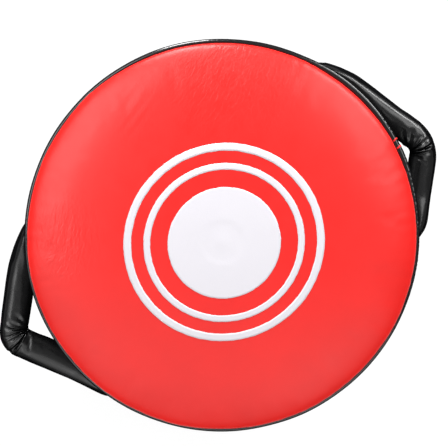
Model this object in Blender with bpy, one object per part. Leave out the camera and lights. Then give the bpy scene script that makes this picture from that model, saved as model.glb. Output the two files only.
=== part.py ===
"""Round target punch shield, lying on its flat back.

A drum of foam in a PU-leather cover, with a printed target on its crowned striking face, piped rims, a
zip closure low on its side wall and two padded tube handles sewn to the wall at opposite ends of a
diameter. Metres, +Z up out of the striking face, origin at the centre of the back panel's flat face,
handles along X.
"""
import math

import bmesh
import bpy
from mathutils import Matrix, Vector

# Driving dimensions of the drum
STEPS = 48                    # facets round every turned piece
GAP = 0.0003                  # clearance kept between touching pieces
SKIN = 0.0012                 # PU leather thickness
WALL_RADIUS = 0.1850          # outside of the side wall
SHOULDER_RADIUS = 0.1867      # widest point of the face panel, just in front of the rim
SHOULDER_HEIGHT = 0.1740
RIM_HEIGHT = 0.1660           # seam between the face panel and the side wall
CROWN_DOME = 0.016            # shallow dome across the whole face, 0.200 deep at its centre
CROWN_ROUNDING = 0.010        # tighter rounding towards the shoulder
HEM_DEPTH = 0.0024            # how far a cover panel is turned in behind its seam
FILL_RADIUS = 0.1816          # every slab of the filling

# Piping: a bound cord along both rims
PIPING_RADIUS = 0.0026
PIPING_CENTRE = 0.1874
REAR_PIPING_HEIGHT = 0.0029
CORD_RADIUS = 0.0014
BINDING = 0.0009

# Filling
CROWN_FOAM_BASE = 0.150
BOARD_BOTTOM = 0.0020
BOARD_TOP = 0.0100
FOAM_SHEETS = 4

# Printed target: half-widths along the longer axis, stretched a little with the leather
PRINT_FILM = 0.0004
PRINT_CENTRE = (0.0008, -0.0017)
PRINT_STRETCH = 0.975
PRINT_LONG_AXIS = math.radians(8)
DISC_RADIUS = 0.0540
INNER_RING = (0.0706, 0.0770)
OUTER_RING = (0.0887, 0.0961)

# Zip closure in the side wall
ZIP_CELLS = (26, 46)          # facets of the wall that the zip's slot takes out
ZIP_BOTTOM = 0.0240
ZIP_TOP = 0.0400
TAPE_OUTSIDE = 0.1847
TAPE_THICKNESS = 0.0008
COIL_HEIGHT = 0.0024
COIL_THICKNESS = 0.0016
COIL_END_MARGIN = math.radians(3.0)
STOP_ANGLE = math.radians(0.9)
STOP_CLEARANCE = math.radians(0.2)
SLIDER_LENGTH = 0.0120
SLIDER_ANGLE = math.radians(339.5)
SLIDER_PLATE = 0.0013
SLIDER_FLANGE = 0.0015
LUG_SIZE = (0.0045, 0.0036)   # outwards and along the zip
LUG_THICKNESS = 0.0012
PIN_CENTRE = 0.1909
PIN_RADIUS = 0.0009
PIN_HEAD = 0.0005             # how far the pin reaches into each lug
PULL_LENGTH = 0.0220
PULL_WIDTH = 0.0058
PULL_EYE = 0.0009             # metal round the pin's hole
PULL_TIP_HALF = 0.0006

# Handles: slack padded tubes, each buckled at its kink
HANDLE_HEIGHT = 0.1000
TUBE_RADIUS = 0.0140
ANCHOR_ANGLE = math.radians(29.5)
ANCHOR_RADIUS = 0.1933
END_HALF_HEIGHT = 0.0120
FULL_SECTION_REACH = 0.0300   # distance beyond the anchors where the tube is fully round
SWING = math.radians(25)
SWING_CLEARANCE = 0.0005
BEND_CUT = 0.0070             # each leg stops this far before the kink
SLEEVE_EASE = 0.0009          # slack between a handle's sleeve and its foam
LEG_STATIONS = 8
TUBE_SIDES = 14
STRAP_HALF_WIDTH = 0.0075
STRAP_HALF_THICKNESS = 0.0009
KINKS = {"right": (0.2260, math.radians(-5.9)), "left": (0.2367, math.radians(-0.6))}
TAB_ANGLES = (math.radians(32.0), math.radians(39.0))
TAB_THICKNESS = 0.0030
TAB_HALF_HEIGHT = 0.0120
PATCH_ANGLES = (math.radians(25.0), math.radians(41.0))
PATCH_THICKNESS = 0.0013
PATCH_HALF_HEIGHT = 0.0200

RED = (0.80, 0.045, 0.035)
BLACK = (0.012, 0.012, 0.013)
WHITE = (0.86, 0.85, 0.88)
FOAM_GREY = (0.36, 0.37, 0.39)
FOAM_WHITE = (0.78, 0.77, 0.72)
NICKEL = (0.62, 0.61, 0.58)


def clear_scene():
    for old in list(bpy.data.objects):
        bpy.data.objects.remove(old, do_unlink=True)


def principled(name, colour, roughness, metallic=0.0):
    finish = bpy.data.materials.new(name)
    finish.use_nodes = True
    shader = finish.node_tree.nodes["Principled BSDF"]
    shader.inputs["Base Color"].default_value = (*colour, 1.0)
    shader.inputs["Roughness"].default_value = roughness
    shader.inputs["Metallic"].default_value = metallic
    return finish


def add_object(name, form, colour, roughness, metallic=0.0, origin=(0, 0, 0), parent=None):
    """Turn a bmesh in world coordinates into an object whose origin is at the given world point."""
    bmesh.ops.recalc_face_normals(form, faces=form.faces)
    bmesh.ops.translate(form, verts=form.verts, vec=-Vector(origin))
    mesh = bpy.data.meshes.new(name)
    form.to_mesh(mesh)
    form.free()
    mesh.shade_smooth()
    mesh.set_sharp_from_angle(angle=math.radians(35))
    mesh.materials.append(principled(name, colour, roughness, metallic))
    piece = bpy.data.objects.new(name, mesh)
    bpy.context.scene.collection.objects.link(piece)
    piece.location = origin
    if parent is not None:
        piece.parent = parent
        piece.location = Vector(origin) - parent.matrix_world.translation
    return piece


def add_hinge(name, place):
    """An empty on a joint's axis."""
    hinge = bpy.data.objects.new(name, None)
    hinge.empty_display_size = 0.03
    hinge.location = place
    bpy.context.scene.collection.objects.link(hinge)
    bpy.context.view_layer.update()
    return hinge


def polar(radius, angle, height):
    return Vector((radius * math.cos(angle), radius * math.sin(angle), height))


def turned(outline, closed):
    """Turn an outline of (radius, height) points about Z; an open outline starts and ends on the axis."""
    form = bmesh.new()
    points = [form.verts.new((radius, 0, height)) for radius, height in outline]
    pairs = list(zip(points, points[1:]))
    if closed:
        pairs.append((points[-1], points[0]))
    edges = [form.edges.new(pair) for pair in pairs]
    bmesh.ops.spin(form, geom=edges, axis=(0, 0, 1), cent=(0, 0, 0), angle=math.tau, steps=STEPS,
                   use_merge=True, use_duplicate=False)
    bmesh.ops.remove_doubles(form, verts=form.verts, dist=1e-6)
    return form


def slab(bottom, top, radius=FILL_RADIUS):
    return turned([(0, bottom), (radius, bottom), (radius, top), (0, top)], closed=False)


def skinned(loops, ring=False):
    """Join successive loops of points with quads; close the ends, or the last loop to the first."""
    form = bmesh.new()
    rows = [[form.verts.new(point) for point in loop] for loop in loops]
    following = rows[1:] + rows[:1] if ring else rows[1:]
    for row, after in zip(rows, following):
        for i in range(len(row)):
            j = (i + 1) % len(row)
            form.faces.new((row[i], row[j], after[j], after[i]))
    if not ring:
        form.faces.new(rows[0][::-1])
        form.faces.new(rows[-1])
    return form


def hollow_tube(outer_loops, inner_loops):
    """A tube open at both ends: outer and inner skins of equal point counts, and a rim at each end."""
    form = bmesh.new()
    outer = [[form.verts.new(point) for point in loop] for loop in outer_loops]
    inner = [[form.verts.new(point) for point in loop] for loop in inner_loops]
    sides = len(outer[0])
    for skin, step in ((outer, 1), (inner, -1)):
        for row, after in zip(skin, skin[1:]):
            for i in range(sides):
                j = (i + step) % sides
                form.faces.new((row[i], row[j], after[j], after[i]))
    for end in (0, -1):
        for i in range(sides):
            j = (i + 1) % sides
            form.faces.new((outer[end][i], outer[end][j], inner[end][j], inner[end][i]))
    return form


def wall_strip(angles, heights, radii):
    """A strip of rectangular section bent round the drum's axis, parallel to the wall's facets."""
    facet = math.tau / STEPS
    first, last = math.ceil(angles[0] / facet + 0.01), math.floor(angles[1] / facet - 0.01)
    stations = [angles[0]] + [facet * i for i in range(first, last + 1)] + [angles[1]]
    loops = []
    for angle in stations:
        from_middle = angle % facet - facet / 2
        flattened = math.cos(facet / 2) / math.cos(from_middle)
        near, far = radii[0] * flattened, radii[1] * flattened
        loops.append([polar(near, angle, heights[0]), polar(far, angle, heights[0]),
                      polar(far, angle, heights[1]), polar(near, angle, heights[1])])
    return skinned(loops)


def crown_height(radius):
    share = min(radius / SHOULDER_RADIUS, 1.0)
    return (SHOULDER_HEIGHT + CROWN_DOME * (1 - share ** 2)
            + CROWN_ROUNDING * math.sqrt(max(0.0, 1 - share ** 8)))


def face_profile():
    """The face panel's outside, from the crown's centre over the shoulder to the hem in the seam."""
    crown = [(SHOULDER_RADIUS * share, crown_height(SHOULDER_RADIUS * share))
             for share in (0, 0.25, 0.5, 0.68, 0.81, 0.9, 0.96, 0.99, 1.0)]
    tuck = [(0.1862, 0.1702), (0.1842, 0.1668)]
    hem = [(0.1842, RIM_HEIGHT - HEM_DEPTH)]
    return crown + tuck + hem


def offset_inward(profile, distance):
    """Shift an open profile towards the drum's inside; its first point stays on the axis."""
    shifted = [(0.0, profile[0][1] - distance)]
    for before, here, after in zip(profile, profile[1:], profile[2:] + profile[-1:]):
        run, fall = after[0] - before[0], after[1] - before[1]
        length = math.hypot(run, fall)
        shifted.append((here[0] + fall / length * distance, here[1] - run / length * distance))
    return shifted


def build_covers():
    outside = face_profile()
    inside = offset_inward(outside, SKIN)
    inside[-1] = (outside[-1][0] - SKIN, outside[-1][1])
    add_object("face_panel", turned(outside + inside[::-1], closed=False), RED, 0.38)

    hem_top = REAR_PIPING_HEIGHT + HEM_DEPTH
    pan = [(0, 0), (0.1800, 0), (0.1826, 0.0006), (0.1838, 0.0018), (0.1840, hem_top),
           (0.1828, hem_top), (0.1826, 0.0022), (0.1820, 0.0016), (0.1800, SKIN), (0, SKIN)]
    add_object("back_panel", turned(pan, closed=False), BLACK, 0.45)
    build_side_wall()


def build_side_wall():
    """The wall with the zip's slot left out: a grid of cells, thickened inward."""
    heights = [REAR_PIPING_HEIGHT + PIPING_RADIUS + GAP, ZIP_BOTTOM, ZIP_TOP,
               RIM_HEIGHT - PIPING_RADIUS - GAP]
    form = bmesh.new()
    skins = []
    for radius in (WALL_RADIUS, WALL_RADIUS - SKIN):
        skins.append([[form.verts.new(polar(radius, math.tau * i / STEPS, height))
                       for i in range(STEPS)] for height in heights])
    kept = [[not (row == 1 and ZIP_CELLS[0] <= i < ZIP_CELLS[1]) for i in range(STEPS)]
            for row in range(len(heights) - 1)]
    for skin in skins:
        for row, cells in enumerate(kept):
            for i, present in enumerate(cells):
                j = (i + 1) % STEPS
                if present:
                    form.faces.new((skin[row][i], skin[row][j], skin[row + 1][j], skin[row + 1][i]))
    outer, inner = skins

    def close(first, second):
        points = [outer[first[0]][first[1]], outer[second[0]][second[1]]]
        points += [inner[second[0]][second[1]], inner[first[0]][first[1]]]
        form.faces.new(points)

    for i in range(STEPS):
        j = (i + 1) % STEPS
        close((0, i), (0, j))
        close((3, i), (3, j))
        if not kept[1][i]:
            close((1, i), (1, j))
            close((2, i), (2, j))
    for i in ZIP_CELLS:
        close((1, i), (2, i))
    add_object("side_wall", form, BLACK, 0.42)


def build_piping(name, height):
    """A binding strip wrapped round a cord, its slit towards the seam, and the cord inside it."""
    slit = math.radians(28)
    turns = 7
    angles = [math.pi + slit + (math.tau - 2 * slit) * i / turns for i in range(turns + 1)]
    outer = [(PIPING_CENTRE + PIPING_RADIUS * math.cos(a), height + PIPING_RADIUS * math.sin(a))
             for a in angles]
    bore = PIPING_RADIUS - BINDING
    inner = [(PIPING_CENTRE + bore * math.cos(a), height + bore * math.sin(a)) for a in angles]
    add_object(name + "_piping", turned(outer + inner[::-1], closed=True), BLACK, 0.22)
    sides = 6
    core = [(PIPING_CENTRE + CORD_RADIUS * math.cos(math.tau * i / sides),
             height + CORD_RADIUS * math.sin(math.tau * i / sides)) for i in range(sides)]
    add_object(name + "_piping_cord", turned(core, closed=True), FOAM_WHITE, 0.7)


def build_filling():
    crown = offset_inward(face_profile(), SKIN + GAP)
    body = [(radius, height) for radius, height in crown
            if radius < FILL_RADIUS and height > SHOULDER_HEIGHT]
    shoulder = [(FILL_RADIUS, body[-1][1] - 0.004), (FILL_RADIUS, CROWN_FOAM_BASE),
                (0, CROWN_FOAM_BASE)]
    add_object("crown_foam", turned(body + shoulder, closed=False), FOAM_WHITE, 0.9)
    bottom = BOARD_TOP + GAP
    pitch = (CROWN_FOAM_BASE - bottom) / FOAM_SHEETS
    for i in range(FOAM_SHEETS):
        low = bottom + i * pitch
        add_object(f"foam_sheet_{i + 1}", slab(low, low + pitch - GAP), FOAM_GREY, 0.9)
    add_object("rear_board", slab(BOARD_BOTTOM, BOARD_TOP), BLACK, 0.8)


def print_point(radius, turn, lift):
    """A point of the printed target, on the crown's surface and lifted off it."""
    along = radius * math.cos(turn)
    across = radius * PRINT_STRETCH * math.sin(turn)
    cosine, sine = math.cos(PRINT_LONG_AXIS), math.sin(PRINT_LONG_AXIS)
    x = PRINT_CENTRE[0] + along * cosine - across * sine
    y = PRINT_CENTRE[1] + along * sine + across * cosine
    return Vector((x, y, crown_height(math.hypot(x, y)) + lift))


def print_ring(radii, lifts=(GAP, GAP + PRINT_FILM)):
    """A flat ring of print, as a film that follows the crown."""
    loops = []
    for i in range(STEPS):
        turn = math.tau * i / STEPS
        loops.append([print_point(radii[0], turn, lifts[0]), print_point(radii[1], turn, lifts[0]),
                      print_point(radii[1], turn, lifts[1]), print_point(radii[0], turn, lifts[1])])
    return skinned(loops, ring=True)


def print_disc(lifts=(GAP, GAP + PRINT_FILM)):
    rings = (0.35, 0.7, 1.0)
    form = bmesh.new()
    skins = []
    for lift in lifts:
        centre = form.verts.new(print_point(0, 0, lift))
        rows = [[form.verts.new(print_point(DISC_RADIUS * share, math.tau * i / STEPS, lift))
                 for i in range(STEPS)] for share in rings]
        for i in range(STEPS):
            j = (i + 1) % STEPS
            form.faces.new((centre, rows[0][i], rows[0][j]))
            for row, after in zip(rows, rows[1:]):
                form.faces.new((row[i], after[i], after[j], row[j]))
        skins.append(rows[-1])
    for i in range(STEPS):
        j = (i + 1) % STEPS
        form.faces.new((skins[0][i], skins[0][j], skins[1][j], skins[1][i]))
    return form


def build_print():
    add_object("target_disc", print_disc(), WHITE, 0.4)
    add_object("target_inner_ring", print_ring(INNER_RING), WHITE, 0.4)
    add_object("target_outer_ring", print_ring(OUTER_RING), WHITE, 0.4)


def build_zip():
    slot = [math.tau * cell / STEPS for cell in ZIP_CELLS]
    end_gap = GAP / TAPE_OUTSIDE * 2
    tape_angles = (slot[0] + end_gap, slot[1] - end_gap)
    tape_radii = (TAPE_OUTSIDE - TAPE_THICKNESS, TAPE_OUTSIDE)
    middle = (ZIP_BOTTOM + ZIP_TOP) / 2
    coil_angles = (slot[0] + COIL_END_MARGIN, slot[1] - COIL_END_MARGIN)
    coil_radii = (TAPE_OUTSIDE + GAP, TAPE_OUTSIDE + GAP + COIL_THICKNESS)
    half_gap = GAP / 2
    lower_coil = (middle - half_gap - COIL_HEIGHT, middle - half_gap)
    upper_coil = (middle + half_gap, middle + half_gap + COIL_HEIGHT)
    lower_tape = (ZIP_BOTTOM + GAP, middle - half_gap)
    upper_tape = (middle + half_gap, ZIP_TOP - GAP)
    for name, tape, coil in (("lower", lower_tape, lower_coil), ("upper", upper_tape, upper_coil)):
        add_object("zip_tape_" + name, wall_strip(tape_angles, tape, tape_radii), BLACK, 0.8)
        add_object("zip_coil_" + name, wall_strip(coil_angles, coil, coil_radii), BLACK, 0.5)
    for name, start in (("start", coil_angles[0] - STOP_CLEARANCE - STOP_ANGLE),
                        ("end", coil_angles[1] + STOP_CLEARANCE)):
        stop = wall_strip((start, start + STOP_ANGLE), (lower_coil[0], upper_coil[1]), coil_radii)
        add_object("zip_stop_" + name, stop, NICKEL, 0.3, 1.0)
    build_slider(lower_coil[0], upper_coil[1])


def build_slider(chain_bottom, chain_top):
    """A saddle over the coils with two lugs and a pin for the pull, which turns on the pin."""
    plate_bottom = TAPE_OUTSIDE + GAP + COIL_THICKNESS + 2 * GAP
    plate_top = plate_bottom + SLIDER_PLATE
    low, high = chain_bottom - 2 * GAP, chain_top + 2 * GAP
    foot = TAPE_OUTSIDE + GAP
    edges = (low - SLIDER_FLANGE, high + SLIDER_FLANGE)
    section = [(foot, edges[0]), (plate_top, edges[0]), (plate_top, edges[1]), (foot, edges[1]),
               (foot, high), (plate_bottom, high), (plate_bottom, low), (foot, low)]
    half = SLIDER_LENGTH / 2 / WALL_RADIUS
    cuts = 4
    loops = [[polar(radius, SLIDER_ANGLE + half * (2 * i / cuts - 1), height)
              for radius, height in section] for i in range(cuts + 1)]
    middle = (ZIP_BOTTOM + ZIP_TOP) / 2
    axis_height = Vector((0, 0, middle))
    slider = add_object("zip_slider", skinned(loops), NICKEL, 0.3, 1.0, origin=axis_height)
    pin_place = polar(PIN_CENTRE, SLIDER_ANGLE, middle)
    lug_inner = PULL_WIDTH / 2 + GAP
    lug_outer = lug_inner + LUG_THICKNESS
    across = Matrix.Rotation(SLIDER_ANGLE, 4, "Z")
    additions = []
    for side in (-1, 1):
        lug = bmesh.new()
        bmesh.ops.create_cube(lug, size=1.0)
        bmesh.ops.scale(lug, verts=lug.verts, vec=(*LUG_SIZE, LUG_THICKNESS))
        place = polar(PIN_CENTRE - 0.0004, SLIDER_ANGLE, middle + side * (lug_inner + lug_outer) / 2)
        bmesh.ops.transform(lug, matrix=Matrix.Translation(place) @ across, verts=lug.verts)
        additions.append(lug)
    pin = bmesh.new()
    bmesh.ops.create_cone(pin, cap_ends=True, segments=10, radius1=PIN_RADIUS, radius2=PIN_RADIUS,
                          depth=2 * (lug_inner + PIN_HEAD))
    bmesh.ops.translate(pin, verts=pin.verts, vec=pin_place)
    additions.append(pin)
    for number, form in enumerate(additions):
        guide = add_object(f"slider_guide_{number}", form, NICKEL, 0.3, 1.0)
        guide.hide_render = True
        guide.display_type = "WIRE"
        joined = slider.modifiers.new(f"join_{number}", "BOOLEAN")
        joined.operation = "UNION"
        joined.solver = "EXACT"
        joined.object = guide
    bpy.context.view_layer.update()
    add_object("zip_pull", pull_form(pin_place), NICKEL, 0.3, 1.0, origin=pin_place, parent=slider)


def pull_form(pin_place):
    """A tapered tab with an eye: each outer point faces a point of the eye's hole."""
    sides = 12
    hole = PIN_RADIUS + GAP
    eye = hole + PULL_EYE
    outward = polar(1, SLIDER_ANGLE, 0)
    backward = Vector((math.sin(SLIDER_ANGLE), -math.cos(SLIDER_ANGLE), 0))
    loops = []
    for i in range(sides):
        turn = math.tau * (i + 0.5) / sides
        inner = (hole * math.cos(turn), hole * math.sin(turn))
        outer = (eye * math.cos(turn), eye * math.sin(turn))
        if i in (0, sides - 1):
            outer = (PULL_LENGTH, math.copysign(PULL_TIP_HALF, math.sin(turn)))
        loop = []
        for (along, out), side in ((inner, -1), (outer, -1), (outer, 1), (inner, 1)):
            offset = backward * along + outward * out + Vector((0, 0, side * PULL_WIDTH / 2))
            loop.append(pin_place + offset)
        loops.append(loop)
    return skinned(loops, ring=True)


ANCHOR_X = ANCHOR_RADIUS * math.cos(ANCHOR_ANGLE)
ANCHOR_Y = ANCHOR_RADIUS * math.sin(ANCHOR_ANGLE)


def tube_section(place):
    """Half-thickness and half-height of a handle's tube at a point of its centre line.

    The tube is pinched flat where it is sewn down and grows to its full round section, never so thick
    that it would touch the wall as the handle swings about the line between its two ends.
    """
    reach = math.hypot(ANCHOR_X + (place.x - ANCHOR_X) * math.cos(SWING), place.y)
    clear = reach - WALL_RADIUS - SWING_CLEARANCE
    grown = min(1.0, (place.x - ANCHOR_X) / FULL_SECTION_REACH)
    half_height = END_HALF_HEIGHT + (TUBE_RADIUS - END_HALF_HEIGHT) * grown
    rest = max(clear ** 2 - (half_height * math.sin(SWING)) ** 2, 0.0)
    return min(math.sqrt(rest) / math.cos(SWING), TUBE_RADIUS), half_height


def handle_stations(kink):
    """Centre-line points and section directions of a handle, from its +Y end to its -Y end."""
    corner = Vector((kink[0] * math.cos(kink[1]), kink[0] * math.sin(kink[1])))
    ends = (Vector((ANCHOR_X, ANCHOR_Y)), Vector((ANCHOR_X, -ANCHOR_Y)))
    cuts = [corner + (end - corner).normalized() * BEND_CUT for end in ends]
    legs = []
    for end, cut in zip(ends, cuts):
        last = (cut - end).length - TUBE_RADIUS * 0.6
        share = last / (cut - end).length
        legs.append([end.lerp(cut, share * i / LEG_STATIONS) for i in range(LEG_STATIONS + 1)])
    places = legs[0] + cuts + legs[1][::-1]
    stations = []
    for i, place in enumerate(places):
        arriving = (place - places[i - 1]).normalized() if i else None
        leaving = (places[i + 1] - place).normalized() if i + 1 < len(places) else arriving
        arriving = arriving or leaving
        heading = (arriving + leaving).normalized()
        stretch = 1 / heading.dot(leaving)
        outward = Vector((-heading.y, heading.x))
        outward = -outward if outward.x < 0 else outward
        stations.append((place, outward * stretch))
    return stations


def handle_loops(stations, rotation, inset=0.0, section=None):
    """Section loops along a handle, each inset from the tube's outside or of a fixed size."""
    loops = []
    for place, outward in stations:
        thick, high = section or (size - inset for size in tube_section(place))
        loop = []
        for i in range(TUBE_SIDES):
            turn = math.tau * i / TUBE_SIDES
            flat = place + outward * (thick * math.cos(turn))
            loop.append(rotation @ Vector((flat.x, flat.y, HANDLE_HEIGHT + high * math.sin(turn))))
        loops.append(loop)
    return loops


def build_handle(side, kink):
    turned_by = 0 if side == "right" else math.pi
    rotation = Matrix.Rotation(turned_by, 3, "Z")
    centre = rotation @ Vector((ANCHOR_X, 0, HANDLE_HEIGHT))
    place = {"origin": centre, "parent": add_hinge(f"handle_{side}_hinge", centre)}
    stations = handle_stations(kink)
    outside = handle_loops(stations, rotation)
    inside = handle_loops(stations, rotation, inset=SKIN)
    add_object(f"handle_{side}_sleeve", hollow_tube(outside, inside), BLACK, 0.3, **place)

    slot_size = (STRAP_HALF_THICKNESS + GAP, STRAP_HALF_WIDTH + GAP)
    filling = handle_loops(stations, rotation, inset=SKIN + SLEEVE_EASE)
    slot = handle_loops(stations, rotation, section=slot_size)
    add_object(f"handle_{side}_foam", hollow_tube(filling, slot), FOAM_GREY, 0.9, **place)
    strap = handle_loops(stations, rotation, section=(STRAP_HALF_THICKNESS, STRAP_HALF_WIDTH))
    add_object(f"handle_{side}_webbing", skinned(strap), FOAM_WHITE, 0.8, **place)

    tab_radius = WALL_RADIUS + GAP
    patch_radius = WALL_RADIUS - SKIN - GAP - PATCH_THICKNESS
    for end, sign in (("upper", 1), ("lower", -1)):
        name = f"handle_{side}_{end}"
        add_sewn_piece(name + "_tab", TAB_ANGLES, turned_by, sign, TAB_HALF_HEIGHT,
                       (tab_radius, tab_radius + TAB_THICKNESS))
        add_sewn_piece(name + "_patch", PATCH_ANGLES, turned_by, sign, PATCH_HALF_HEIGHT,
                       (patch_radius, patch_radius + PATCH_THICKNESS))


def add_sewn_piece(name, span, turned_by, sign, half_height, radii):
    """A rectangle of leather bent along the wall, level with the handles."""
    angles = sorted(turned_by + sign * angle for angle in span)
    heights = (HANDLE_HEIGHT - half_height, HANDLE_HEIGHT + half_height)
    add_object(name, wall_strip(angles, heights, radii), BLACK, 0.4)


def main():
    clear_scene()
    build_covers()
    build_piping("front", RIM_HEIGHT)
    build_piping("rear", REAR_PIPING_HEIGHT)
    build_filling()
    build_print()
    build_zip()
    for side, kink in KINKS.items():
        build_handle(side, kink)


main()
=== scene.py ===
"""Looks of the round target punch shield: its leather covers, print, piping, zip and slack handles."""
import math

import bmesh
import bpy
import numpy as np
from mathutils import Matrix, Vector
from mathutils.bvhtree import BVHTree


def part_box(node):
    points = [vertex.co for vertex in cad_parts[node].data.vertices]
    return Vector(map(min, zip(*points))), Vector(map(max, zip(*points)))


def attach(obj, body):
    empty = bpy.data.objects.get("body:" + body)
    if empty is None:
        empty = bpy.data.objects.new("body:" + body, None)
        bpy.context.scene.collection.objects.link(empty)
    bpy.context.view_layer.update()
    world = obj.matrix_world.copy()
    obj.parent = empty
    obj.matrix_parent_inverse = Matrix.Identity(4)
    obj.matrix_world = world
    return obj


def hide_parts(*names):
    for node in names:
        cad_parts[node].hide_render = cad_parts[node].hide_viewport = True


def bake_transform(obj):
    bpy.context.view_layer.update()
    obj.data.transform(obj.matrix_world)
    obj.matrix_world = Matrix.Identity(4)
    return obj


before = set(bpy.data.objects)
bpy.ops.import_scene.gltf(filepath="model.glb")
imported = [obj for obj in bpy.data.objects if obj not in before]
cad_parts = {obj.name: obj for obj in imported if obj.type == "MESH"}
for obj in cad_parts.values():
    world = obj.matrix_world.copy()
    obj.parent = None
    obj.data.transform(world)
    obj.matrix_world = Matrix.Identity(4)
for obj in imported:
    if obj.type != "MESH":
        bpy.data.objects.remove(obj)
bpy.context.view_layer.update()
MM = 0.001

# Sizes read from the frame
FACE_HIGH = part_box("face_panel")[1]
WALL_LOW, WALL_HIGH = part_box("side_wall")
PIPE_LOW, PIPE_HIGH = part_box("front_piping")
REAR_LOW, REAR_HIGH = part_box("rear_piping")
SHOULDER_RADIUS = FACE_HIGH.x
CROWN_TOP = FACE_HIGH.z
WALL_RADIUS = WALL_HIGH.x
PIPE_SWELL = 0.5 * MM                # how much fuller the sewn leather is than the bare cord's cover
PIPE_RADIUS = (PIPE_HIGH.z - PIPE_LOW.z) / 2 + PIPE_SWELL
PIPE_CENTRE = PIPE_HIGH.x - PIPE_RADIUS + 2 * PIPE_SWELL
RIM_HEIGHT = (PIPE_HIGH.z + PIPE_LOW.z) / 2
REAR_HEIGHT = (REAR_HIGH.z + REAR_LOW.z) / 2
HANDLE_LOW, HANDLE_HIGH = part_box("handle_right_sleeve")
HANDLE_HEIGHT = (HANDLE_LOW.z + HANDLE_HIGH.z) / 2
SHOULDER_HEIGHT = RIM_HEIGHT + 8 * MM
CROWN_DOME = 16 * MM
CROWN_ROUNDING = 10 * MM
SKIN = 1.2 * MM                      # thickness of the leather's solids


# ---------------------------------------------------------------- mesh helpers

def grid_faces(rows, columns, wrap):
    """Quads of a grid of rows x columns points; wrap joins the last column to the first."""
    across = columns if wrap else columns - 1
    row, column = np.meshgrid(np.arange(rows - 1), np.arange(across), indexing="ij")
    after = (column + 1) % columns
    quads = np.stack([row * columns + column, row * columns + after,
                      (row + 1) * columns + after, (row + 1) * columns + column], axis=-1)
    return quads.reshape(-1, 4)


def full_turn(count):
    """Evenly spaced angles of a whole turn."""
    return math.tau * np.arange(count) / count


def wrapped(angle):
    """An angle brought between minus half a turn and half a turn."""
    return (angle + math.pi) % math.tau - math.pi


def points_of(piece):
    return np.array([vertex.co for vertex in piece.data.vertices])


def normals_of(piece):
    return np.array([vertex.normal for vertex in piece.data.vertices])


def reach_along(path):
    """Distance from a path's start to each of its points."""
    return np.concatenate([[0], np.cumsum(np.linalg.norm(np.diff(path, axis=0), axis=1))])


def choose(item, **settings):
    """Sets several settings of a modifier, node, lamp or camera and gives it back."""
    for key, value in settings.items():
        setattr(item, key, value)
    return item


def add_object(name, data):
    """A new object in the scene."""
    item = bpy.data.objects.new(name, data)
    bpy.context.scene.collection.objects.link(item)
    return item


def add_mesh(name, points, faces, material, inside=None):
    """One object from points and faces; its faces are turned to look away from the point `inside`."""
    mesh = bpy.data.meshes.new(name)
    mesh.from_pydata(np.asarray(points, float).reshape(-1, 3).tolist(), [],
                     [list(map(int, face)) for face in faces])
    mesh.shade_smooth()
    mesh.materials.append(material)
    if inside is not None:
        facing = sum((face.center - Vector(inside)).dot(face.normal) * face.area for face in mesh.polygons)
        if facing < 0:
            mesh.flip_normals()
    return add_object(name, mesh)


def add_disc(name, points, middle, material, inside):
    """A round sheet of rings of points, the innermost first, closed at its middle point."""
    rings, spokes = points.shape[:2]
    fan = [[rings * spokes, i, (i + 1) % spokes] for i in range(spokes)]
    faces = [list(quad) for quad in grid_faces(rings, spokes, wrap=True)[:, ::-1]] + fan
    return add_mesh(name, np.concatenate([points.reshape(-1, 3), [middle]]), faces, material, inside)


def tube_faces(rings, sides, closed_ends=False):
    """Quads of a tube of rings x sides points, with a cap on each end if it is closed."""
    faces = [list(quad) for quad in grid_faces(rings, sides, wrap=True)]
    if closed_ends:
        last = (rings - 1) * sides
        faces += [list(range(sides))[::-1], list(range(last, last + sides))]
    return faces


def bake(piece):
    """Replaces a piece's mesh by the one that its modifiers give."""
    depsgraph = bpy.context.evaluated_depsgraph_get()
    mesh = bpy.data.meshes.new_from_object(piece.evaluated_get(depsgraph))
    piece.modifiers.clear()
    piece.data = mesh


CLOTH_FRAMES = 16


def settle(piece, pinned, pressure, spare, cap, rest=None):
    """Cloth simulation of a padded skin: it swells under pressure with some spare cloth and is held at
    the pinned points. `rest` gives the flat cut's own points. No point moves further than its `cap`."""
    start = points_of(piece)
    group = piece.vertex_groups.new(name="sewn")
    group.add([int(i) for i in pinned], 1.0, "REPLACE")
    cloth = piece.modifiers.new("cloth", "CLOTH")
    choose(cloth.settings, vertex_group_mass="sewn", quality=6, mass=0.02, tension_stiffness=15,
           compression_stiffness=15, shear_stiffness=5, bending_stiffness=0.5, use_pressure=True,
           uniform_pressure_force=pressure, shrink_min=-spare)
    cloth.settings.effector_weights.gravity = 0.0
    cloth.collision_settings.use_collision = False
    cloth.point_cache.frame_end = CLOTH_FRAMES
    if rest is not None:
        piece.shape_key_add(name="kinked")
        cut = piece.shape_key_add(name="cut")
        cut.data.foreach_set("co", np.asarray(rest, float).ravel())
        cloth.settings.rest_shape_key = cut
    scene = bpy.context.scene
    for frame_number in range(1, CLOTH_FRAMES + 1):
        scene.frame_set(frame_number)
    settled = points_of(piece.evaluated_get(bpy.context.evaluated_depsgraph_get()))
    scene.frame_set(1)
    moved = settled - start
    length = np.linalg.norm(moved, axis=1, keepdims=True)
    moved *= np.tanh(length / cap) * cap / np.maximum(length, 1e-9)
    piece.modifiers.clear()
    piece.shape_key_clear()
    piece.vertex_groups.clear()
    piece.data.vertices.foreach_set("co", (start + moved).ravel())
    piece.data.update()


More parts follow.
